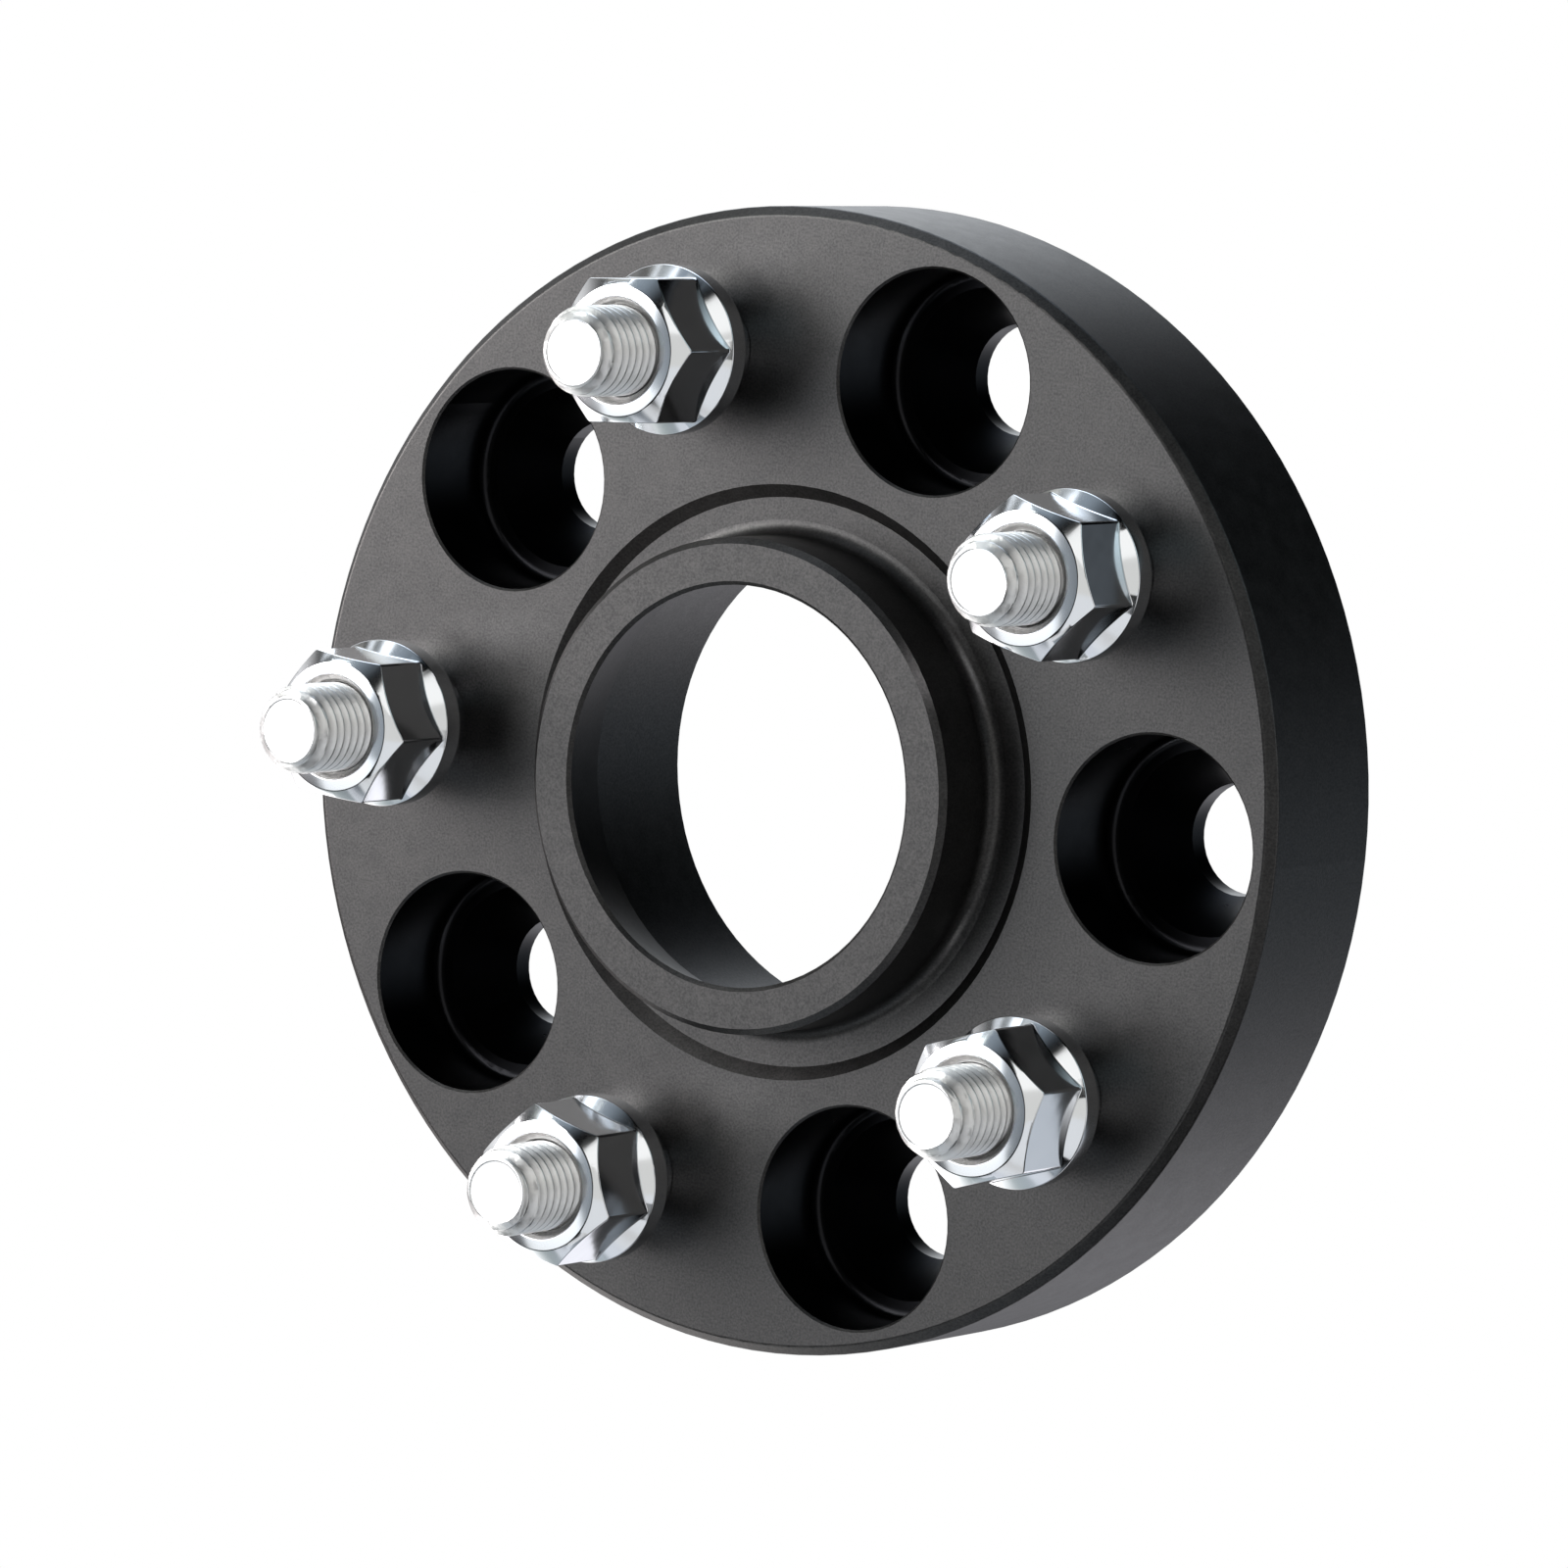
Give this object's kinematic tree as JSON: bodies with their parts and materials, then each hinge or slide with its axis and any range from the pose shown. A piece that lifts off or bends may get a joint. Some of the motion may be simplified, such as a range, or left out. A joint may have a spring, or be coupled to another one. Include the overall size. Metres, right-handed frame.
{
  "type": "wheel spacer",
  "caption": "Bolt-on hub-centric wheel spacer: a black anodised aluminium ring with a centring lip, deep nut pockets, pressed-in studs and open-ended conical-seat nuts.",
  "frame": {"origin": "centre of the flat face that lies on the hub", "axes": "+Z along the wheel axis, out of the hub through the lip and the studs; +X through the middle of a nut pocket, so the studs are at 36, 108, 180, 252 and 324 degrees from +X towards +Y"},
  "size_m": [0.149, 0.149, 0.055],
  "materials": {
    "black_anodised": "fine bead-blasted, black anodised, satin",
    "stud_steel": "satin zinc plate",
    "nut_plating": "bright plating"
  },
  "bodies": {
    "root": {"spacer_body": "black_anodised", "stud_1": "stud_steel", "stud_2": "stud_steel", "stud_3": "stud_steel", "stud_4": "stud_steel", "stud_5": "stud_steel", "nut_1": "nut_plating", "nut_2": "nut_plating", "nut_3": "nut_plating", "nut_4": "nut_plating", "nut_5": "nut_plating"}
  },
  "joints": []
}
